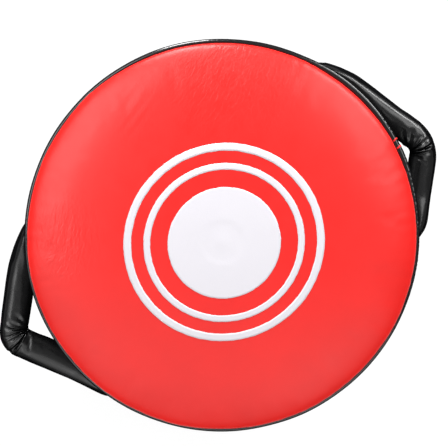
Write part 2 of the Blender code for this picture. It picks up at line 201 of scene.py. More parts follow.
def settled_relief(points, inside, pressure, spare, cap):
    """How far a padded skin swells from its form: a grid of cloth held along its first and last rows."""
    rows, columns = points.shape[:2]
    sheet = add_mesh("settling_sheet", points, grid_faces(rows, columns, wrap=True), BLACK_LEATHER, inside)
    normals = normals_of(sheet)
    first, last = range(columns), range((rows - 1) * columns, rows * columns)
    settle(sheet, [*first, *last], pressure, spare, cap)
    moved = points_of(sheet) - points.reshape(-1, 3)
    bpy.data.objects.remove(sheet)
    return (moved * normals).sum(axis=1).reshape(rows, columns)


def cubic_weights(share):
    """The shares of four neighbouring values in a smooth curve read between the middle two."""
    square, cube = share ** 2, share ** 3
    return (-share / 2 + square - cube / 2, 1 - 2.5 * square + 1.5 * cube,
            share / 2 + 2 * square - 1.5 * cube, (cube - square) / 2)


def read_relief(grid, row_share, column_share):
    """Reads a grid of heights smoothly at shares of its rows and of its closed ring of columns."""
    rows, columns = grid.shape
    row = np.clip(row_share, 0, 1) * (rows - 1)
    column = (column_share % 1.0) * columns
    low_row, low_column = np.floor(row).astype(int), np.floor(column).astype(int)
    total = 0.0
    for i, row_weight in enumerate(cubic_weights(row - low_row)):
        near_row = np.clip(low_row + i - 1, 0, rows - 1)
        for j, column_weight in enumerate(cubic_weights(column - low_column)):
            total = total + row_weight * column_weight * grid[near_row, (low_column + j - 1) % columns]
    return total


def along_path(path, places, values):
    """Values given at a path's points, read at places measured along it."""
    reach = reach_along(path)
    return np.stack([np.interp(places, reach, values[:, k]) for k in range(3)], axis=-1)


def unit(vectors):
    return vectors / np.linalg.norm(vectors, axis=-1, keepdims=True)


def add_threads(name, starts, ends, ups, radius, material):
    """Short round threads from each start to each end, dipping in at both ends."""
    shares = np.array([0.0, 0.12, 0.5, 0.88, 1.0])[:, None, None]
    swell = np.array([0.35, 0.85, 1.0, 0.85, 0.35])[:, None, None]
    sides = 6
    turns = full_turn(sides)[None, :, None]
    points, faces = [], []
    for start, end, up in zip(starts, ends, ups):
        heading = end - start
        across = unit(np.cross(heading, up))
        up = unit(np.cross(across, heading))
        centre = start + heading * shares + up * radius * (1.1 * np.sin(math.pi * shares) - 0.3)
        ring = across * np.cos(turns) + up * np.sin(turns)
        base = len(points) * 5 * sides
        points.append(centre + radius * swell * ring)
        faces += [[base + index for index in face] for face in tube_faces(5, sides, closed_ends=True)]
    piece = add_mesh(name, np.array(points), faces, material)
    recalculate(piece)
    return piece


def recalculate(piece):
    """Turns the faces of closed forms outwards."""
    form = bmesh.new()
    form.from_mesh(piece.data)
    bmesh.ops.recalc_face_normals(form, faces=form.faces)
    form.to_mesh(piece.data)
    form.free()


def drop_loose(piece):
    """Removes the points that no face uses."""
    form = bmesh.new()
    form.from_mesh(piece.data)
    bmesh.ops.delete(form, geom=[point for point in form.verts if not point.link_faces], context="VERTS")
    form.to_mesh(piece.data)
    form.free()


def add_stitches(name, rows, material, pitch=3.3 * MM, length=2.5 * MM, radius=0.38 * MM):
    """Rows of stitches on a surface, each row a path and the directions away from the surface."""
    starts, ends, ups = [], [], []
    for path, normals in rows:
        whole = reach_along(path)[-1]
        count = max(1, int(whole / pitch))
        first = (np.arange(count) + 0.5) * whole / count - length / 2
        starts.append(along_path(path, first, path))
        ends.append(along_path(path, first + length, path))
        ups.append(along_path(path, first + length / 2, normals))
    return add_threads(name, np.concatenate(starts), np.concatenate(ends), np.concatenate(ups), radius,
                       material)


def dress(piece, body="pad"):
    """Puts a piece on the body that it rides on."""
    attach(piece, body)


def stand_for(piece, node, body="pad"):
    """Puts a piece in the place of a CAD node: hides the node and puts the piece on its body."""
    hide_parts(node)
    dress(piece, body)


def smooth_noise(x, y, seed, waves=14, low=1.0, high=3.0):
    """A soft random height between about -1 and 1: a sum of plane waves of random direction."""
    rng = np.random.default_rng(seed)
    total = np.zeros(np.broadcast(x, y).shape)
    for _ in range(waves):
        heading, size = rng.uniform(0, math.tau), rng.uniform(low, high)
        phase = rng.uniform(0, math.tau)
        total = total + np.cos((x * math.cos(heading) + y * math.sin(heading)) * size + phase)
    return total / math.sqrt(waves)


def smoothstep(low, high, value):
    share = np.clip((value - low) / (high - low), 0.0, 1.0)
    return share * share * (3 - 2 * share)


def around(angles, radius, height):
    """Points at given angles, radii and heights about the drum's axis."""
    radius, height = np.broadcast_to(radius, angles.shape), np.broadcast_to(height, angles.shape)
    return np.stack([radius * np.cos(angles), radius * np.sin(angles), height], axis=-1)


def thicken(piece, thickness, offset=-1.0):
    """Makes a skin a closed solid: inwards from its surface, or outwards with an offset of 1."""
    choose(piece.modifiers.new("skin", "SOLIDIFY"), thickness=thickness, offset=offset,
           use_even_offset=False)


# ---------------------------------------------------------------- materials

class Nodes:
    """A small builder for a material's node tree, with plain values on its shader."""

    def __init__(self, name, **shading):
        self.material = bpy.data.materials.new(name)
        self.material.use_nodes = True
        self.tree = self.material.node_tree
        self.shader = self.tree.nodes["Principled BSDF"]
        self.place = self.add("TexCoord").outputs["Object"]
        for key, value in shading.items():
            self.feed(self.shader, key.replace("_", " "), value)

    def feed(self, node, key, value):
        """Sets a socket to a value, or links another node's output to it."""
        if isinstance(value, bpy.types.NodeSocket):
            self.tree.links.new(value, node.inputs[key])
        else:
            node.inputs[key].default_value = value

    def add(self, kind, sockets=(), **settings):
        """A node with its settings and what its sockets are fed: values or other outputs."""
        node = choose(self.tree.nodes.new("ShaderNode" + kind), **settings)
        for key, value in dict(sockets).items():
            self.feed(node, key, value)
        return node

    def noise(self, scale, detail, roughness=0.5, distortion=0.0, place=None):
        return self.add("TexNoise", {"Vector": place or self.place, "Scale": scale, "Detail": detail,
                                     "Roughness": roughness, "Distortion": distortion}).outputs["Fac"]

    def voronoi(self, scale, feature="SMOOTH_F1"):
        sockets = {"Vector": self.place, "Scale": scale}
        return self.add("TexVoronoi", sockets, feature=feature).outputs["Distance"]

    def ramp(self, value, stops):
        node = self.add("ValToRGB", {"Fac": value})
        for element, (position, colour) in zip(node.color_ramp.elements, stops):
            element.position = position
            element.color = (*colour, 1.0)
        return node.outputs["Color"]

    def remap(self, value, low, high, to_low, to_high):
        sockets = {"Value": value, "From Min": low, "From Max": high, "To Min": to_low, "To Max": to_high}
        return self.add("MapRange", sockets).outputs["Result"]

    def math(self, operation, first, second):
        return self.add("Math", {0: first, 1: second}, operation=operation).outputs["Value"]

    def stretched(self, turn, scale):
        """Coordinates turned about Z and scaled, for grain with a direction."""
        sockets = {"Vector": self.place, "Rotation": (0.0, 0.0, turn),
                   "Scale": [1 / share for share in scale]}
        return self.add("Mapping", sockets, vector_type="TEXTURE").outputs["Vector"]

    def near(self, centre, reach):
        """1 at a point, falling to 0 at a distance from it."""
        node = self.add("VectorMath", {0: self.place, 1: centre}, operation="DISTANCE")
        return self.remap(node.outputs["Value"], 0.0, reach, 1.0, 0.0)

    def bump(self, height, distance, strength, base=None):
        node = self.add("Bump", {"Strength": strength, "Distance": distance, "Height": height})
        if base is not None:
            self.feed(node, "Normal", base)
        return node.outputs["Normal"]

    def finish(self, **outputs):
        for key, output in outputs.items():
            self.feed(self.shader, key.replace("_", " "), output)
        return self.material


def shaded(colour, share):
    """A colour made darker or lighter by a share of itself."""
    return tuple(min(1.0, channel * share) for channel in colour)


def leather(name, colour, variation, roughness, spread, grain=0.05 * MM, specular=0.5, coat=0.0,
            fade=None, kept=0.0, creases=()):
    """PU leather: fine pebble grain, soft mottling, worn gloss, and patches of fine stretch creases.

    Between the two glancing shares of `fade` its gloss goes down to the share `kept`.
    """
    n = Nodes(name, Specular_IOR_Level=specular, Coat_Roughness=0.1)
    if fade is not None:
        facing_away = n.add("LayerWeight").outputs["Facing"]
        for key, gloss in (("Specular IOR Level", specular), ("Coat Weight", coat)):
            n.feed(n.shader, key, n.remap(facing_away, *fade, gloss, gloss * kept))
    mottle = n.noise(22.0, 4.0, 0.6)
    tint = n.ramp(mottle, [(0.3, shaded(colour, 1 - variation)), (0.7, shaded(colour, 1 + variation))])
    rough = n.remap(n.noise(60.0, 5.0, 0.65), 0.3, 0.7, roughness - spread, roughness + spread)
    pebble = n.voronoi(950.0)
    normal = n.bump(pebble, grain, 0.6)
    normal = n.bump(n.noise(420.0, 2.0), grain * 1.2, 0.5, normal)
    for centre, reach, turn, depth in creases:
        lines = n.noise(1.0, 1.0, 0.45, 0.8, n.stretched(turn, (125.0, 310.0, 125.0)))
        faded = n.math("MULTIPLY", n.math("SUBTRACT", lines, 0.5), n.near(centre, reach))
        normal = n.bump(faded, depth, 1.0, normal)
    return n.finish(Base_Color=tint, Roughness=rough, Normal=normal)


def foam(name, colour, cell):
    """Matt foam with open or closed cells, with painted shade darkening the hollow of each cell; `cell` is
    how many there are to a metre.
    """
    n = Nodes(name, Roughness=0.95, Specular_IOR_Level=0.15)
    cells = n.voronoi(cell, "F1")
    # painted shade: the colour is darkest at the middle of each cell, where the bump sinks the cell's
    # hollow
    tint = n.ramp(cells, [(0.0, shaded(colour, 0.55)), (0.6, colour)])
    return n.finish(Base_Color=tint, Normal=n.bump(cells, 0.5 * MM, 0.8))


def woven(name, colour, pitch):
    """A plain weave: two crossed sets of ribs, with painted shade darkening the gaps between them."""
    n = Nodes(name, Roughness=0.85)
    ribs = {"Vector": n.place, "Scale": 1.0 / (pitch * 20), "Distortion": 0.4}
    warp, weft = [n.add("TexWave", ribs, wave_type="BANDS", bands_direction=axis) for axis in "XZ"]
    height = n.math("MULTIPLY", warp.outputs["Fac"], weft.outputs["Fac"])
    # painted shade: the colour goes darker where the weave's height is low, between the ribs
    tint = n.ramp(height, [(0.0, shaded(colour, 0.5)), (0.8, colour)])
    return n.finish(Base_Color=tint, Normal=n.bump(height, 0.2 * MM, 0.9))


def metal(name, colour, roughness):
    """Plated metal, a little worn and uneven."""
    n = Nodes(name, Metallic=1.0)
    worn = n.noise(900.0, 4.0, 0.7)
    tint = n.ramp(worn, [(0.25, shaded(colour, 0.75)), (0.7, colour)])
    rough = n.remap(worn, 0.3, 0.7, roughness - 0.06, roughness + 0.12)
    return n.finish(Base_Color=tint, Roughness=rough, Normal=n.bump(worn, 0.02 * MM, 0.5))


def thread(name, colour):
    """Twisted or moulded nylon, with painted shade darkening the low parts of its twist."""
    n = Nodes(name, Roughness=0.55)
    twist = n.noise(2600.0, 1.0)
    # painted shade: the colour goes darker where the twist's bump is low
    tint = n.ramp(twist, [(0.3, shaded(colour, 0.6)), (0.7, colour)])
    return n.finish(Base_Color=tint, Normal=n.bump(twist, 0.05 * MM, 0.6))


RED = (0.70, 0.0105, 0.0078)
BLACK = (0.0050, 0.0050, 0.0055)
PRINT_WHITE = (0.606, 0.588, 0.626)

# Patches of fine creases in the face's leather: middle, reach, heading of the lines, depth
FINE_CREASES = (((0.084, 0.130, 0.185), 0.075, math.radians(37), 0.60 * MM),
                ((-0.136, 0.0745, 0.180), 0.050, math.radians(53), 0.60 * MM),
                ((-0.141, 0.0510, 0.180), 0.032, math.radians(25), 0.60 * MM),
                ((-0.024, 0.0185, 0.200), 0.040, math.radians(40), 0.30 * MM))

RED_LEATHER = leather("red_leather", RED, 0.035, 0.37, 0.03, specular=0.5, fade=(0.05, 0.38), kept=0.15,
                      creases=FINE_CREASES)
BLACK_LEATHER = leather("black_leather", BLACK, 0.25, 0.34, 0.06, specular=0.5, fade=(0.3, 1.0))
PIPING_LEATHER = leather("piping_leather", BLACK, 0.2, 0.15, 0.03, grain=0.015 * MM, specular=0.5,
                         coat=0.4, fade=(0.20, 0.36))
HANDLE_LEATHER = leather("handle_leather", (0.0032, 0.0032, 0.0035), 0.25, 0.27, 0.05,
                         grain=0.04 * MM, specular=0.55, coat=0.12, fade=(0.12, 0.42))
PRINT_INK = leather("white_print", PRINT_WHITE, 0.012, 0.40, 0.05, specular=0.4)
BLACK_THREAD = thread("black_thread", (0.02, 0.02, 0.021))
ZIP_TAPE = woven("zip_tape_weave", (0.020, 0.020, 0.021), 0.7 * MM)
ZIP_NYLON = thread("zip_nylon", (0.028, 0.028, 0.030))
CROWN_FOAM = foam("crown_foam_cells", (0.78, 0.77, 0.72), 700.0)
SHEET_FOAM = foam("rebonded_foam", (0.36, 0.37, 0.39), 260.0)
BOARD = foam("closed_cell_board", (0.05, 0.05, 0.055), 1600.0)
COTTON = woven("cotton_cord", (0.70, 0.69, 0.65), 0.9 * MM)
PATCH_LEATHER = leather("patch_leather", (0.02, 0.02, 0.02), 0.2, 0.55, 0.05)
HANDLE_FOAM = foam("foam_rod", (0.36, 0.37, 0.39), 900.0)
WEBBING = woven("flat_webbing", (0.75, 0.74, 0.70), 1.2 * MM)
NICKEL = metal("nickel", (0.36, 0.355, 0.34), 0.30)


# ---------------------------------------------------------------- striking face

SEAM_TUCK = 2.6 * MM                 # how far the face's edge turns in under its shoulder
SEAM_DEPTH = SHOULDER_HEIGHT - (RIM_HEIGHT + 0.6 * MM)
FACE_FULLNESS = 0.3 * MM             # how far the leather stands off the bare foam's form


def crown_height(radius):
    """Height of the bare crown at a distance from the axis."""
    share = np.clip(radius / SHOULDER_RADIUS, 0.0, 1.0)
    return (SHOULDER_HEIGHT + CROWN_DOME * (1 - share ** 2)
            + CROWN_ROUNDING * np.sqrt(np.clip(1 - share ** 8, 0.0, 1.0)))


def face_profile(samples):
    """Outside of the face from near its centre over the shoulder into the seam."""
    share = 1 - (1 - np.linspace(0.0, 1.0, 400)) ** 2.2
    crown = np.stack([SHOULDER_RADIUS * share, crown_height(SHOULDER_RADIUS * share)], axis=-1)
    turn = np.linspace(0.0, 1.0, 40)[1:]
    tuck = np.stack([SHOULDER_RADIUS - SEAM_TUCK * turn ** 2, SHOULDER_HEIGHT - SEAM_DEPTH * turn], axis=-1)
    points = np.concatenate([crown, tuck])
    length = reach_along(points)
    places = length[-1] * (1 - (1 - np.linspace(0, 1, samples)) ** 1.25)
    return np.stack([np.interp(places, length, points[:, k]) for k in (0, 1)], axis=-1)


def profile_normals(profile):
    """Outward directions across a (radius, height) profile that runs from the axis outwards and down."""
    ahead = np.gradient(profile, axis=0)
    normal = np.stack([-ahead[:, 1], ahead[:, 0]], axis=-1)
    return unit(normal)


# Broader stretch creases in the face: middle, heading of the lines in degrees, reach
FACE_CREASES = (((0.086, 0.126), 37, 0.072), ((-0.136, 0.075), 54, 0.046),
                ((-0.020, 0.150), 30, 0.050), ((-0.024, 0.019), 40, 0.034))


def face_relief(radius, angle):
    """Height of the leather's own unevenness: swells, puckers along the seam and stretch creases."""
    x, y = radius * np.cos(angle), radius * np.sin(angle)
    swell = 0.30 * MM * smooth_noise(x, y, 3, low=12, high=34)
    arc = angle * SHOULDER_RADIUS
    near_seam = smoothstep(0.160, 0.186, radius)
    puckers = near_seam * 0.13 * MM * smooth_noise(arc, radius * 0.25, 5, waves=20, low=300, high=620)
    folds = near_seam * 0.30 * MM * smooth_noise(arc, radius * 0.2, 6, waves=16, low=40, high=110)
    creases = np.zeros_like(x)
    for seed, (centre, turn, reach) in enumerate(FACE_CREASES):
        heading = math.radians(turn)
        along = (x - centre[0]) * math.cos(heading) + (y - centre[1]) * math.sin(heading)
        across = -(x - centre[0]) * math.sin(heading) + (y - centre[1]) * math.cos(heading)
        bend = 0.004 * smooth_noise(along, across, seed + 11, low=15, high=45)
        wave = smooth_noise(across + bend, along * 0.10, seed + 31, waves=10, low=520, high=900)
        fade = np.clip(1 - np.hypot(along, across * 1.8) / reach, 0, 1)
        creases = creases - fade * 0.12 * MM * np.clip(wave, -0.2, 1.0)
    return np.clip(swell + puckers + folds, -0.25 * MM, 0.9 * MM) + creases


def settle_face(rings=46, spokes=300):
    """Cloth simulation of the face over its foam, held at the seam and at its middle."""
    profile = face_profile(rings)[3:]
    radius, angle = np.meshgrid(profile[:, 0], full_turn(spokes), indexing="ij")
    normals = profile_normals(profile)
    relief = face_relief(radius, angle)
    points = around(angle, radius + normals[:, :1] * relief, profile[:, 1:] + normals[:, 1:] * relief)
    return profile, settled_relief(points, (0, 0, 0), pressure=2.0, spare=0.0, cap=0.3 * MM)


def build_face():
    """The face's leather: the crowned form with its creases and the relief of the settled cloth."""
    rings, spokes = 102, 480
    settled_profile, settled = settle_face()
    reach = reach_along(settled_profile)
    profile = face_profile(rings)[1:]
    normals = profile_normals(profile)
    angles = full_turn(spokes)
    radius, angle = np.meshgrid(profile[:, 0], angles, indexing="ij")
    place = reach_along(profile) + profile[0, 0] - settled_profile[0, 0]
    row = np.interp(place, reach, np.linspace(0, 1, len(reach)))
    swelling = read_relief(settled, np.repeat(row[:, None], spokes, axis=1), angle / math.tau)
    relief = (face_relief(radius, angle) + swelling) * smoothstep(0.0, 0.010, radius) + FACE_FULLNESS
    relief = relief * smoothstep(1.0, 0.985, np.linspace(0, 1, len(profile))[:, None])
    out_radius = radius + normals[:, :1] * relief
    out_height = profile[:, 1:] + normals[:, 1:] * relief
    points = around(angle, out_radius, out_height)
    return add_disc("face_leather", points, (0.0, 0.0, CROWN_TOP + FACE_FULLNESS), RED_LEATHER,
                    inside=(0, 0, 0))


FACE = build_face()
SURFACE = BVHTree.FromObject(FACE, bpy.context.evaluated_depsgraph_get())
thicken(FACE, SKIN - 0.2 * MM)
bake(FACE)
stand_for(FACE, "face_panel")


# ---------------------------------------------------------------- printed target

INK_LIFT = 0.10 * MM
INK_THICKNESS = 0.15 * MM
INK_WAVER = 0.13 * MM                # how far the print's edges wander
PRINT_LONG_AXIS = math.radians(8)    # the stretched leather makes the target slightly oval
PRINT_STRETCH = 0.975
PRINT_STEP = 1.6 * MM                # distance between the rings of points in a print


def on_face(x, y, lift):
    """The point of the face's leather over (x, y), lifted off it."""
    hit = SURFACE.ray_cast(Vector((x, y, CROWN_TOP + 0.05)), Vector((0, 0, -1)))
    return hit[0] + hit[1] * lift


def build_print(name, node, seed, width=None):
    """A ring of the target, or its disc where no width is given, with edges that waver a little."""
    disc_low, disc_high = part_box("target_disc")
    centre = (disc_low + disc_high) / 2
    low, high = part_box(node)
    outer = (high.x - low.x) / 2
    inner = PRINT_STEP if width is None else outer - width
    spokes, rings = 480, max(3, int((outer - inner) / PRINT_STEP))
    points = []
    for ring in range(rings + 1):
        for i in range(spokes):
            turn = math.tau * i / spokes
            radius = inner + (outer - inner) * ring / rings
            if ring == rings or (ring == 0 and width is not None):
                waver = float(smooth_noise(np.array(radius * turn), 0.0, seed + ring, 12, 250, 1500))
                radius += INK_WAVER * waver
            along, across = radius * math.cos(turn), radius * math.sin(turn) * PRINT_STRETCH
            x = centre.x + along * math.cos(PRINT_LONG_AXIS) - across * math.sin(PRINT_LONG_AXIS)
            y = centre.y + along * math.sin(PRINT_LONG_AXIS) + across * math.cos(PRINT_LONG_AXIS)
            points.append(list(on_face(x, y, INK_LIFT)))
    faces = [list(face) for face in grid_faces(rings + 1, spokes, wrap=True)]
    if width is None:
        faces += [[len(points), (i + 1) % spokes, i] for i in range(spokes)]
        points.append(list(on_face(centre.x, centre.y, INK_LIFT)))
    piece = add_mesh(name, points, faces, PRINT_INK, inside=(0, 0, 0))
    thicken(piece, INK_THICKNESS, offset=1.0)
    bake(piece)
    stand_for(piece, node)


build_print("print_disc", "target_disc", seed=31)
build_print("print_inner_ring", "target_inner_ring", seed=33, width=6.4 * MM)
build_print("print_outer_ring", "target_outer_ring", seed=35, width=7.4 * MM)


# ---------------------------------------------------------------- piping

GATHER_ANGLE, GATHER_SPREAD = math.radians(-18), math.radians(24)    # where the piping is most puckered
GATHER_DEPTH = 0.050                 # depth of the puckers there, as a share of the piping's radius
# Where the front piping stands out from its seam or is drawn in: angle, half-spread, distance
PIPING_SWINGS = ((math.radians(10), math.radians(25), 2.6 * MM),
                 (math.radians(122), math.radians(34), -0.8 * MM))
FRONT_PIPING_HEIGHT = RIM_HEIGHT + 1.4 * MM
REAR_PIPING_HEIGHT = REAR_HEIGHT + PIPE_SWELL + 0.1 * MM


def gather(angle):
    """1 along the stretch of the front piping that is drawn into tight puckers, falling to 0 beside it."""
    return np.exp(-(np.sin((angle - GATHER_ANGLE) / 2) / math.sin(GATHER_SPREAD / 2)) ** 4)


def swing_out(angle, swings):
    """How far a piping stands out from its seam at an angle."""
    out = np.zeros_like(angle)
    for middle, spread, distance in swings:
        out += distance * np.exp(-(np.sin((angle - middle) / 2) / math.sin(spread / 2)) ** 4)
    return out


def build_piping(name, node, height, seed, swings=(), gathered=0.0):
    """A bound cord: a tube whose leather is drawn into small slanting puckers by its seam.

    Where it stands out, its inner side is drawn out into a flange that still reaches the seam.
    """
    around_steps, sides = 1180, 16
    angles = full_turn(around_steps)
    turns = full_turn(sides)
    angle, turn = np.meshgrid(angles, turns, indexing="ij")
    arc = angle * PIPE_CENTRE
    pucker = smooth_noise(arc + 1.1 * MM * turn, turn * 0.2 * MM, seed, waves=12, low=1500, high=2300)
    wobble = smooth_noise(arc, np.zeros_like(arc), seed + 1, waves=10, low=30, high=120)
    radius = PIPE_RADIUS * (0.985 + (0.008 + gathered * gather(angle)) * pucker + 0.010 * wobble)
    swing = swing_out(angle, swings)
    centre = PIPE_CENTRE + 0.12 * MM * wobble + swing
    reach = np.where(np.cos(turn) < 0, radius + np.maximum(swing, 0), radius)
    points = around(angle, centre + reach * np.cos(turn), height + radius * np.sin(turn))
    last = (around_steps - 1) * sides
    closing = [[last + i, last + (i + 1) % sides, (i + 1) % sides, i] for i in range(sides)]
    piece = add_mesh(name, points, tube_faces(around_steps, sides) + closing, PIPING_LEATHER,
                     inside=(0, 0, height))
    stand_for(piece, node)


build_piping("front_piping_leather", "front_piping", FRONT_PIPING_HEIGHT, 51, PIPING_SWINGS, GATHER_DEPTH)
build_piping("rear_piping_leather", "rear_piping", REAR_PIPING_HEIGHT, 52)

SLIVER_ANGLES = (math.radians(1.7), math.radians(-0.7))
SLIVER_HALF_WIDTH = 0.8 * MM
SLIVER_BEND = 0.5 * MM               # how far a slip wanders sideways on its way over the piping
SLIVER_LIFT = 0.25 * MM
SLIVER_THICKNESS = 0.3 * MM


def build_slivers():
    """Two slips of the face's red leather caught in the seam where the piping's ends meet."""
    for number, place in enumerate(SLIVER_ANGLES):
        across = np.linspace(-SLIVER_HALF_WIDTH, SLIVER_HALF_WIDTH, 5)
        turns = np.radians(np.linspace(170, 20 - 25 * number, 16))
        offset, turn = np.meshgrid(across, turns)
        angle = place + (offset + SLIVER_BEND * np.sin(turn * 2)) / PIPE_CENTRE
        radius = PIPE_RADIUS + SLIVER_LIFT
        centre = PIPE_CENTRE + swing_out(angle, PIPING_SWINGS)
        points = around(angle, centre + radius * np.cos(turn), FRONT_PIPING_HEIGHT + radius * np.sin(turn))
        middle = around(np.array(place), centre.mean(), FRONT_PIPING_HEIGHT)
        sliver = add_mesh(f"front_piping_sliver_{number + 1}", points, grid_faces(16, 5, wrap=False),
                          RED_LEATHER, inside=middle)
        thicken(sliver, SLIVER_THICKNESS)
        bake(sliver)
        dress(sliver)


build_slivers()


# ---------------------------------------------------------------- side wall

ZIP_MIDDLE = (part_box("zip_tape_lower")[0].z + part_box("zip_tape_upper")[1].z) / 2
ZIP_START, ZIP_END = math.radians(195), math.radians(345)
SLOT_HALF = 5.4 * MM                 # half-height of the wall's opening over the zip
WALL_BULGE = 0.9 * MM
SEAM_ANGLE = math.radians(0.5)       # where the wall strip's ends are joined
SEAM_WIDTH, SEAM_GROOVE = 1.2 * MM, 0.5 * MM
DENT_DEPTH = 0.60 * MM
TAB_MIDDLE = math.radians(35.4)      # angle from the handles' line to the middle of each sewn tab
TAB_HEIGHT = 100 * MM
TAB_DIP, TAB_DIP_REACH = 0.8 * MM, 24 * MM   # how deep and how far around a tab the wall is drawn in
WALL_TOP = WALL_HIGH.z + 2.6 * MM    # the leather's edges reach up and down into the pipings
WALL_BOTTOM = WALL_LOW.z - 0.6 * MM
WALL_MIDDLE = (0, 0, 0.085)


def cut_wall_radius(angle, height):
    """The wall as cut and sewn: a slight bulge between the rims, soft dents, gathers along both seams and
    dips where the handles' tabs are sewn down."""
    share = (height - WALL_LOW.z) / (WALL_HIGH.z - WALL_LOW.z)
    bulge = WALL_BULGE * np.clip(np.sin(np.pi * np.clip(share, 0, 1)), 0, 1) ** 0.5
    arc = angle * WALL_RADIUS
    dents = DENT_DEPTH * smooth_noise(arc, height, 61, waves=18, low=18, high=60)
    from_seam = np.minimum(height - WALL_LOW.z, WALL_HIGH.z - height)
    edge = 1 - smoothstep(0.0, 0.024, from_seam)
    wide_edge = 1 - smoothstep(0.0, 0.060, from_seam)
    gathers = edge * 0.42 * MM * smooth_noise(arc, height * 0.15, 62, waves=24, low=220, high=520)
    folds = smooth_noise(arc, height * 0.2, 63, waves=16, low=70, high=180)
    gathers = gathers + wide_edge * 0.70 * MM * folds
    for tab in (TAB_MIDDLE, -TAB_MIDDLE, math.pi - TAB_MIDDLE, math.pi + TAB_MIDDLE):
        across = WALL_RADIUS * np.sin((angle - tab) / 2) * 2
        from_tab = np.hypot(across, height - TAB_HEIGHT)
        dents = dents - TAB_DIP * np.exp(-(from_tab / TAB_DIP_REACH) ** 2)
    seam = np.exp(-((arc - SEAM_ANGLE * WALL_RADIUS) / SEAM_WIDTH) ** 2)
    zip_reach = smoothstep(0, 9 * MM, np.abs(height - ZIP_MIDDLE) - SLOT_HALF)
    in_zip = (np.cos(angle - (ZIP_START + ZIP_END) / 2) > math.cos((ZIP_END - ZIP_START) / 2 + 0.05))
    calm = np.where(in_zip, 0.25 + 0.75 * zip_reach, 1.0)
    return WALL_RADIUS - 0.2 * MM + (bulge + dents + gathers) * calm - SEAM_GROOVE * seam, calm


def settle_wall(rows=34, columns=360):
    """Cloth simulation of the wall, held along both seams."""
    angles, heights = full_turn(columns), np.linspace(WALL_BOTTOM, WALL_TOP, rows)
    angle, height = np.meshgrid(angles, heights)
    radius, _ = cut_wall_radius(wrapped(angle), height)
    points = around(angle, radius, height)
    return settled_relief(points, WALL_MIDDLE, pressure=2.0, spare=0.012, cap=1.3 * MM)


WALL_RELIEF = settle_wall()


def wall_radius(angle, height):
    """The wall's outside after the cloth has settled."""
    radius, calm = cut_wall_radius(angle, height)
    share = (height - WALL_BOTTOM) / (WALL_TOP - WALL_BOTTOM)
    return radius + calm * read_relief(WALL_RELIEF, share, angle / math.tau)


def build_wall():
    """The wall's leather, with the slot over its zip left open."""
    columns = 600
    below, over, above = 14, 4, 59       # rows of faces under the slot, beside it and above it
    slot_low, slot_high = ZIP_MIDDLE - SLOT_HALF, ZIP_MIDDLE + SLOT_HALF
    heights = np.concatenate([np.linspace(WALL_BOTTOM, slot_low, below + 1),
                              np.linspace(slot_low, slot_high, over + 1)[1:],
                              np.linspace(slot_high, WALL_TOP, above + 1)[1:]])
    first, last = round(columns * ZIP_START / math.tau), round(columns * ZIP_END / math.tau)
    angles = full_turn(columns)
    angle, height = np.meshgrid(angles, heights)
    signed = np.where(angle > math.pi, angle - math.tau, angle)
    points = around(angle, wall_radius(signed, height), height)
    faces = []
    for face in grid_faces(len(heights), columns, wrap=True):
        row, column = divmod(int(face[0]), columns)
        if not (below <= row < below + over and first <= column < last):
            faces.append(list(face))
    wall = add_mesh("side_wall_leather", points, faces, BLACK_LEATHER, inside=WALL_MIDDLE)
    drop_loose(wall)
    thicken(wall, SKIN - 0.3 * MM)
    bake(wall)
    stand_for(wall, "side_wall")


def on_wall(angles, heights, lift):
    """A path over the wall's leather and the directions away from it."""
    angles, heights = np.broadcast_arrays(np.asarray(angles, float), np.asarray(heights, float))
    radius = wall_radius(wrapped(angles), heights) + lift
    return around(angles, radius, heights), around(angles, 1.0, 0.0)


STITCH_LIFT = 0.12 * MM
ZIP_STITCH_MARGIN = 2.2 * MM
SEAM_STITCH_MARGIN = 3.2 * MM


def build_wall_stitches():
    """Stitches around the zip's slot and on both sides of the wall's upright seam."""
    rows = []
    reach = SLOT_HALF + ZIP_STITCH_MARGIN
    ends = (ZIP_START - ZIP_STITCH_MARGIN / WALL_RADIUS, ZIP_END + ZIP_STITCH_MARGIN / WALL_RADIUS)
    for sign in (1, -1):
        rows.append(on_wall(np.linspace(*ends, 400), ZIP_MIDDLE + sign * reach, STITCH_LIFT))
    for end in ends:
        rows.append(on_wall(end, np.linspace(ZIP_MIDDLE - reach, ZIP_MIDDLE + reach, 20), STITCH_LIFT))
    for side in (-1, 1):
        heights = np.linspace(WALL_LOW.z + 2 * MM, WALL_HIGH.z - 2 * MM, 120)
        rows.append(on_wall(SEAM_ANGLE + side * SEAM_STITCH_MARGIN / WALL_RADIUS, heights, STITCH_LIFT))
    stitches = add_stitches("side_wall_stitches", rows, BLACK_THREAD)
    dress(stitches)


build_wall()
build_wall_stitches()


# ---------------------------------------------------------------- zip

TAPE_DEPTH, TAPE_THICKNESS = 0.55 * MM, 0.6 * MM
COIL_PITCH, COIL_THICKNESS = 1.5 * MM, 0.55 * MM
COIL_LIFT = 0.42 * MM
COIL_OVERLAP = 0.35 * MM             # how far a tooth leans along the zip and over its middle
COIL_MARGIN = math.radians(3.4)      # from each end of the slot to the first tooth


def build_tapes():
    """The zip's two woven tapes, behind the wall's slot."""
    margin = 0.1 * MM / WALL_RADIUS
    angles = np.linspace(ZIP_START + margin, ZIP_END - margin, 300)
    for name in ("zip_tape_lower", "zip_tape_upper"):
        low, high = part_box(name)
        angle, height = np.meshgrid(angles, np.linspace(low.z, high.z, 6), indexing="ij")
        ripple = 0.06 * MM * smooth_noise(angle * WALL_RADIUS, height, 81, low=60, high=200)
        points = around(angle, WALL_RADIUS - TAPE_DEPTH + ripple, height)
        tape = add_mesh(name + "_weave", points, grid_faces(len(angles), 6, wrap=False), ZIP_TAPE,
                        inside=(0, 0, ZIP_MIDDLE))
        thicken(tape, TAPE_THICKNESS)
        bake(tape)
        stand_for(tape, name)


